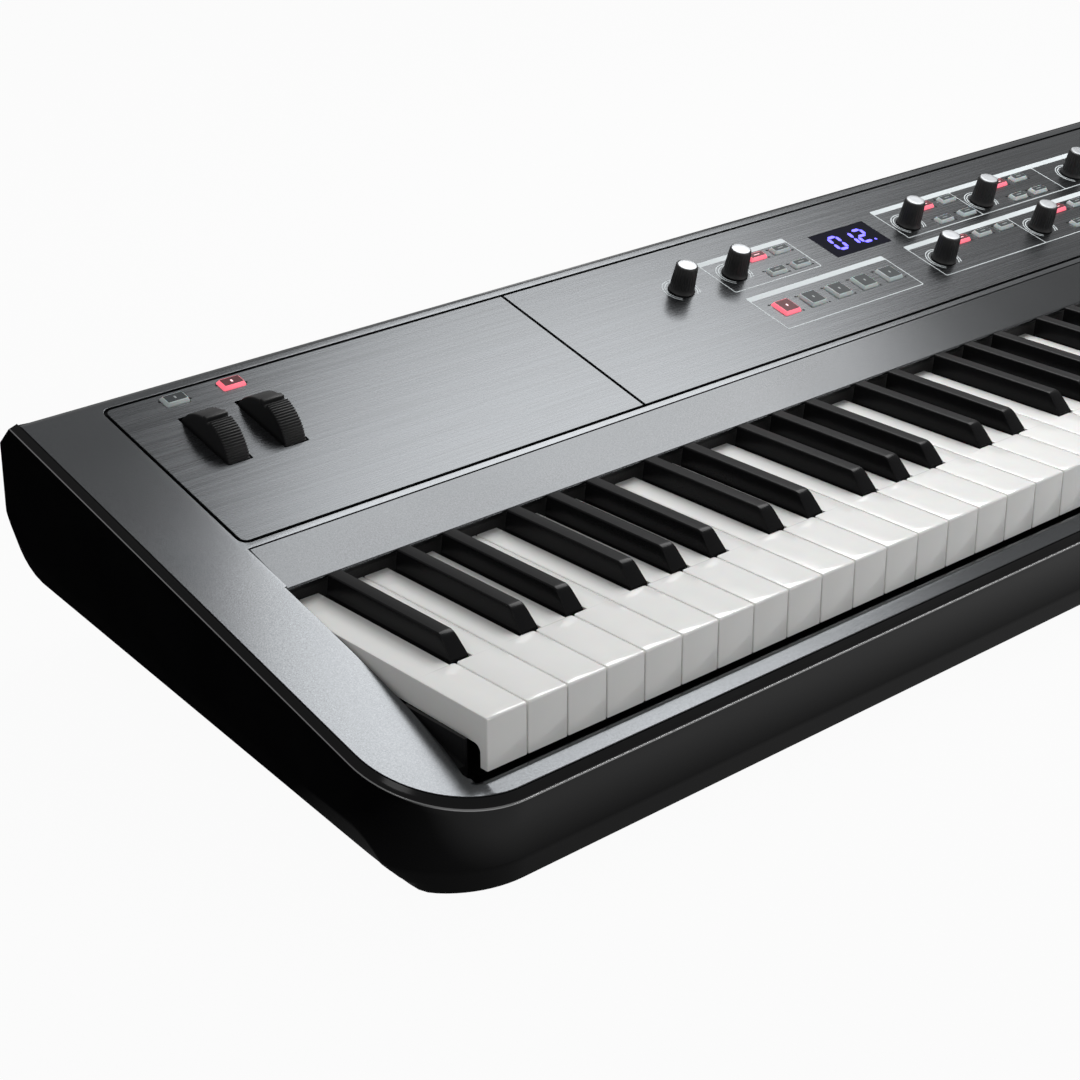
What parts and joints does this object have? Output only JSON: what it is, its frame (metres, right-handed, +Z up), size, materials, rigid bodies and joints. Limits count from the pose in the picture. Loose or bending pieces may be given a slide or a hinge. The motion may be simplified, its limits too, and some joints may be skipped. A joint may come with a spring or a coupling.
{
  "type": "stage piano",
  "caption": "Portable stage piano with a weighted keyboard, sloping silver control panel, pitch and modulation wheels, knobs and lit buttons in a black case",
  "frame": {"origin": "on the floor under the middle of the body", "axes": "X along the keys to the treble, Y to the back, Z up"},
  "size_m": [1.318, 0.339, 0.1382],
  "materials": {
    "case_black": "moulded black plastic with a semi-gloss skin",
    "silver_paint": "silver-grey metallic paint on moulded plastic, satin",
    "brushed_panel": "aluminium sheet brushed along its length",
    "moulded_black": "fine-textured black plastic",
    "frame_steel": "zinc-plated folded sheet",
    "display_glass": "smoked window over a blue display",
    "board": "green solder mask",
    "foot_rubber": "matt black rubber",
    "key_white": "polished ivory-white plastic",
    "key_black": "satin black plastic",
    "knob_black": "black fluted body with a spun bright cap",
    "button_grey": "translucent grey cap with a dark inset",
    "button_lit": "translucent cap lit red"
  },
  "bodies": {
    "case": {"bottom_case": "case_black", "top_cover": "silver_paint", "fallboard": "silver_paint", "wheel_panel": "brushed_panel", "control_panel": "brushed_panel", "jack_panel": "moulded_black", "keybed_frame": "frame_steel", "key_rest_bar": "moulded_black", "display_window": "display_glass", "main_board": "board", "wheel_bracket": "moulded_black", "foot_front_left": "foot_rubber", "foot_front_right": "foot_rubber", "foot_rear_left": "foot_rubber", "foot_rear_right": "foot_rubber"},
    "key_a0": {"key_a0": "key_white"},
    "key_a_sharp_0": {"key_a_sharp_0": "key_black"},
    "key_b0": {"key_b0": "key_white"},
    "key_c1": {"key_c1": "key_white"},
    "key_d1": {"key_d1": "key_white"},
    "key_e1": {"key_e1": "key_white"},
    "key_f1": {"key_f1": "key_white"},
    "key_g1": {"key_g1": "key_white"},
    "key_a1": {"key_a1": "key_white"},
    "key_b1": {"key_b1": "key_white"},
    "key_c_sharp_1": {"key_c_sharp_1": "key_black"},
    "key_d_sharp_1": {"key_d_sharp_1": "key_black"},
    "key_f_sharp_1": {"key_f_sharp_1": "key_black"},
    "key_g_sharp_1": {"key_g_sharp_1": "key_black"},
    "key_a_sharp_1": {"key_a_sharp_1": "key_black"},
    "naturals_octave_2": {"naturals_octave_2": "key_white"},
    "sharps_octave_2": {"sharps_octave_2": "key_black"},
    "naturals_octave_3": {"naturals_octave_3": "key_white"},
    "sharps_octave_3": {"sharps_octave_3": "key_black"},
    "naturals_octave_4": {"naturals_octave_4": "key_white"},
    "sharps_octave_4": {"sharps_octave_4": "key_black"},
    "naturals_octave_5": {"naturals_octave_5": "key_white"},
    "sharps_octave_5": {"sharps_octave_5": "key_black"},
    "naturals_octave_6": {"naturals_octave_6": "key_white"},
    "sharps_octave_6": {"sharps_octave_6": "key_black"},
    "naturals_octave_7": {"naturals_octave_7": "key_white"},
    "sharps_octave_7": {"sharps_octave_7": "key_black"},
    "pitch_wheel": {"pitch_wheel": "moulded_black"},
    "modulation_wheel": {"modulation_wheel": "moulded_black"},
    "transpose_down_button": {"transpose_down_button": "button_grey"},
    "transpose_up_button": {"transpose_up_button": "button_lit"},
    "selector_button_1": {"selector_button_1": "button_lit"},
    "selector_button_2": {"selector_button_2": "button_grey"},
    "selector_button_3": {"selector_button_3": "button_grey"},
    "selector_button_4": {"selector_button_4": "button_grey"},
    "selector_button_5": {"selector_button_5": "button_grey"},
    "volume_knob": {"volume_knob": "knob_black"},
    "layer_knob": {"layer_knob": "knob_black"},
    "piano_tone_knob": {"piano_tone_knob": "knob_black"},
    "keys_tone_knob": {"keys_tone_knob": "knob_black"},
    "strings_tone_knob": {"strings_tone_knob": "knob_black"},
    "effect_knob": {"effect_knob": "knob_black"},
    "reverb_knob": {"reverb_knob": "knob_black"},
    "side_button_mat": {"side_button_mat": "button_grey"},
    "tone_button_mat": {"tone_button_mat": "button_grey"}
  },
  "joints": [
    {"name": "key_a0_press", "type": "hinge", "parent": "case", "child": "key_a0", "pos_m": [-0.60107, 0.0555, 0.069], "axis": [1, 0, 0], "range_deg": [0, 2.8], "stiffness_Nm_per_rad": 1, "springref_deg": -11.46},
    {"name": "key_a_sharp_0_press", "type": "hinge", "parent": "case", "child": "key_a_sharp_0", "pos_m": [-0.58592, 0.0555, 0.069], "axis": [1, 0, 0], "range_deg": [0, 2.8], "stiffness_Nm_per_rad": 1, "springref_deg": -11.46},
    {"name": "key_b0_press", "type": "hinge", "parent": "case", "child": "key_b0", "pos_m": [-0.5775, 0.0555, 0.069], "axis": [1, 0, 0], "range_deg": [0, 2.8], "stiffness_Nm_per_rad": 1, "springref_deg": -11.46},
    {"name": "key_c1_press", "type": "hinge", "parent": "case", "child": "key_c1", "pos_m": [-0.55393, 0.0555, 0.069], "axis": [1, 0, 0], "range_deg": [0, 2.8], "stiffness_Nm_per_rad": 1, "springref_deg": -11.46},
    {"name": "key_d1_press", "type": "hinge", "parent": "case", "child": "key_d1", "pos_m": [-0.53036, 0.0555, 0.069], "axis": [1, 0, 0], "range_deg": [0, 2.8], "stiffness_Nm_per_rad": 1, "springref_deg": -11.46},
    {"name": "key_e1_press", "type": "hinge", "parent": "case", "child": "key_e1", "pos_m": [-0.50679, 0.0555, 0.069], "axis": [1, 0, 0], "range_deg": [0, 2.8], "stiffness_Nm_per_rad": 1, "springref_deg": -11.46},
    {"name": "key_f1_press", "type": "hinge", "parent": "case", "child": "key_f1", "pos_m": [-0.48321, 0.0555, 0.069], "axis": [1, 0, 0], "range_deg": [0, 2.8], "stiffness_Nm_per_rad": 1, "springref_deg": -11.46},
    {"name": "key_g1_press", "type": "hinge", "parent": "case", "child": "key_g1", "pos_m": [-0.45964, 0.0555, 0.069], "axis": [1, 0, 0], "range_deg": [0, 2.8], "stiffness_Nm_per_rad": 1, "springref_deg": -11.46},
    {"name": "key_a1_press", "type": "hinge", "parent": "case", "child": "key_a1", "pos_m": [-0.43607, 0.0555, 0.069], "axis": [1, 0, 0], "range_deg": [0, 2.8], "stiffness_Nm_per_rad": 1, "springref_deg": -11.46},
    {"name": "key_b1_press", "type": "hinge", "parent": "case", "child": "key_b1", "pos_m": [-0.4125, 0.0555, 0.069], "axis": [1, 0, 0], "range_deg": [0, 2.8], "stiffness_Nm_per_rad": 1, "springref_deg": -11.46},
    {"name": "key_c_sharp_1_press", "type": "hinge", "parent": "case", "child": "key_c_sharp_1", "pos_m": [-0.5445, 0.0555, 0.069], "axis": [1, 0, 0], "range_deg": [0, 2.8], "stiffness_Nm_per_rad": 1, "springref_deg": -11.46},
    {"name": "key_d_sharp_1_press", "type": "hinge", "parent": "case", "child": "key_d_sharp_1", "pos_m": [-0.51621, 0.0555, 0.069], "axis": [1, 0, 0], "range_deg": [0, 2.8], "stiffness_Nm_per_rad": 1, "springref_deg": -11.46},
    {"name": "key_f_sharp_1_press", "type": "hinge", "parent": "case", "child": "key_f_sharp_1", "pos_m": [-0.4748, 0.0555, 0.069], "axis": [1, 0, 0], "range_deg": [0, 2.8], "stiffness_Nm_per_rad": 1, "springref_deg": -11.46},
    {"name": "key_g_sharp_1_press", "type": "hinge", "parent": "case", "child": "key_g_sharp_1", "pos_m": [-0.44786, 0.0555, 0.069], "axis": [1, 0, 0], "range_deg": [0, 2.8], "stiffness_Nm_per_rad": 1, "springref_deg": -11.46},
    {"name": "key_a_sharp_1_press", "type": "hinge", "parent": "case", "child": "key_a_sharp_1", "pos_m": [-0.42092, 0.0555, 0.069], "axis": [1, 0, 0], "range_deg": [0, 2.8], "stiffness_Nm_per_rad": 1, "springref_deg": -11.46},
    {"name": "naturals_octave_2_press", "type": "hinge", "parent": "case", "child": "naturals_octave_2", "pos_m": [-0.31821, 0.0555, 0.069], "axis": [1, 0, 0], "range_deg": [0, 2.8], "stiffness_Nm_per_rad": 7, "springref_deg": -11.46},
    {"name": "sharps_octave_2_press", "type": "hinge", "parent": "case", "child": "sharps_octave_2", "pos_m": [-0.31821, 0.0555, 0.069], "axis": [1, 0, 0], "range_deg": [0, 2.8], "stiffness_Nm_per_rad": 5, "springref_deg": -11.46},
    {"name": "naturals_octave_3_press", "type": "hinge", "parent": "case", "child": "naturals_octave_3", "pos_m": [-0.15321, 0.0555, 0.069], "axis": [1, 0, 0], "range_deg": [0, 2.8], "stiffness_Nm_per_rad": 7, "springref_deg": -11.46},
    {"name": "sharps_octave_3_press", "type": "hinge", "parent": "case", "child": "sharps_octave_3", "pos_m": [-0.15321, 0.0555, 0.069], "axis": [1, 0, 0], "range_deg": [0, 2.8], "stiffness_Nm_per_rad": 5, "springref_deg": -11.46},
    {"name": "naturals_octave_4_press", "type": "hinge", "parent": "case", "child": "naturals_octave_4", "pos_m": [0.01179, 0.0555, 0.069], "axis": [1, 0, 0], "range_deg": [0, 2.8], "stiffness_Nm_per_rad": 7, "springref_deg": -11.46},
    {"name": "sharps_octave_4_press", "type": "hinge", "parent": "case", "child": "sharps_octave_4", "pos_m": [0.01179, 0.0555, 0.069], "axis": [1, 0, 0], "range_deg": [0, 2.8], "stiffness_Nm_per_rad": 5, "springref_deg": -11.46},
    {"name": "naturals_octave_5_press", "type": "hinge", "parent": "case", "child": "naturals_octave_5", "pos_m": [0.17679, 0.0555, 0.069], "axis": [1, 0, 0], "range_deg": [0, 2.8], "stiffness_Nm_per_rad": 7, "springref_deg": -11.46},
    {"name": "sharps_octave_5_press", "type": "hinge", "parent": "case", "child": "sharps_octave_5", "pos_m": [0.17679, 0.0555, 0.069], "axis": [1, 0, 0], "range_deg": [0, 2.8], "stiffness_Nm_per_rad": 5, "springref_deg": -11.46},
    {"name": "naturals_octave_6_press", "type": "hinge", "parent": "case", "child": "naturals_octave_6", "pos_m": [0.34179, 0.0555, 0.069], "axis": [1, 0, 0], "range_deg": [0, 2.8], "stiffness_Nm_per_rad": 7, "springref_deg": -11.46},
    {"name": "sharps_octave_6_press", "type": "hinge", "parent": "case", "child": "sharps_octave_6", "pos_m": [0.34179, 0.0555, 0.069], "axis": [1, 0, 0], "range_deg": [0, 2.8], "stiffness_Nm_per_rad": 5, "springref_deg": -11.46},
    {"name": "naturals_octave_7_press", "type": "hinge", "parent": "case", "child": "naturals_octave_7", "pos_m": [0.50679, 0.0555, 0.069], "axis": [1, 0, 0], "range_deg": [0, 2.8], "stiffness_Nm_per_rad": 8, "springref_deg": -11.46},
    {"name": "sharps_octave_7_press", "type": "hinge", "parent": "case", "child": "sharps_octave_7", "pos_m": [0.50679, 0.0555, 0.069], "axis": [1, 0, 0], "range_deg": [0, 2.8], "stiffness_Nm_per_rad": 5, "springref_deg": -11.46},
    {"name": "pitch_wheel_turn", "type": "hinge", "parent": "case", "child": "pitch_wheel", "pos_m": [-0.57506, 0.10329, 0.10858], "axis": [1, 0, 0], "range_deg": [-32, 32], "stiffness_Nm_per_rad": 0.05},
    {"name": "modulation_wheel_turn", "type": "hinge", "parent": "case", "child": "modulation_wheel", "pos_m": [-0.54046, 0.10329, 0.10858], "axis": [1, 0, 0], "range_deg": [-32, 32]},
    {"name": "transpose_down_button_push", "type": "slide", "parent": "case", "child": "transpose_down_button", "axis": [0, 0.2595, -0.9657], "range_m": [0, 0.001], "stiffness_N_per_m": 300, "springref_m": -0.001},
    {"name": "transpose_up_button_push", "type": "slide", "parent": "case", "child": "transpose_up_button", "axis": [0, 0.2595, -0.9657], "range_m": [0, 0.001], "stiffness_N_per_m": 300, "springref_m": -0.001},
    {"name": "selector_button_1_push", "type": "slide", "parent": "case", "child": "selector_button_1", "axis": [0, 0.2595, -0.9657], "range_m": [0, 0.001], "stiffness_N_per_m": 300, "springref_m": -0.001},
    {"name": "selector_button_2_push", "type": "slide", "parent": "case", "child": "selector_button_2", "axis": [0, 0.2595, -0.9657], "range_m": [0, 0.001], "stiffness_N_per_m": 300, "springref_m": -0.001},
    {"name": "selector_button_3_push", "type": "slide", "parent": "case", "child": "selector_button_3", "axis": [0, 0.2595, -0.9657], "range_m": [0, 0.001], "stiffness_N_per_m": 300, "springref_m": -0.001},
    {"name": "selector_button_4_push", "type": "slide", "parent": "case", "child": "selector_button_4", "axis": [0, 0.2595, -0.9657], "range_m": [0, 0.001], "stiffness_N_per_m": 300, "springref_m": -0.001},
    {"name": "selector_button_5_push", "type": "slide", "parent": "case", "child": "selector_button_5", "axis": [0, 0.2595, -0.9657], "range_m": [0, 0.001], "stiffness_N_per_m": 300, "springref_m": -0.001},
    {"name": "volume_knob_turn", "type": "hinge", "parent": "case", "child": "volume_knob", "pos_m": [-0.24306, 0.10438, 0.11954], "axis": [0, -0.2595, 0.9657], "range_deg": [-140, 140]},
    {"name": "layer_knob_turn", "type": "hinge", "parent": "case", "child": "layer_knob", "pos_m": [-0.19826, 0.10438, 0.11954], "axis": [0, -0.2595, 0.9657], "range_deg": [-140, 140]},
    {"name": "piano_tone_knob_turn", "type": "hinge", "parent": "case", "child": "piano_tone_knob", "pos_m": [-0.04246, 0.10149, 0.11876], "axis": [0, -0.2595, 0.9657], "range_deg": [-140, 140]},
    {"name": "keys_tone_knob_turn", "type": "hinge", "parent": "case", "child": "keys_tone_knob", "pos_m": [0.03094, 0.10149, 0.11876], "axis": [0, -0.2595, 0.9657], "range_deg": [-140, 140]},
    {"name": "strings_tone_knob_turn", "type": "hinge", "parent": "case", "child": "strings_tone_knob", "pos_m": [0.12784, 0.10149, 0.11876], "axis": [0, -0.2595, 0.9657], "range_deg": [-140, 140]},
    {"name": "effect_knob_turn", "type": "hinge", "parent": "case", "child": "effect_knob", "pos_m": [-0.05526, 0.06131, 0.10797], "axis": [0, -0.2595, 0.9657], "range_deg": [-140, 140]},
    {"name": "reverb_knob_turn", "type": "hinge", "parent": "case", "child": "reverb_knob", "pos_m": [0.04224, 0.06131, 0.10797], "axis": [0, -0.2595, 0.9657], "range_deg": [-140, 140]},
    {"name": "side_button_mat_push", "type": "slide", "parent": "case", "child": "side_button_mat", "axis": [0, 0.2595, -0.9657], "range_m": [0, 0.0008], "stiffness_N_per_m": 900, "springref_m": -0.001},
    {"name": "tone_button_mat_push", "type": "slide", "parent": "case", "child": "tone_button_mat", "axis": [0, 0.2595, -0.9657], "range_m": [0, 0.0008], "stiffness_N_per_m": 900, "springref_m": -0.001}
  ]
}
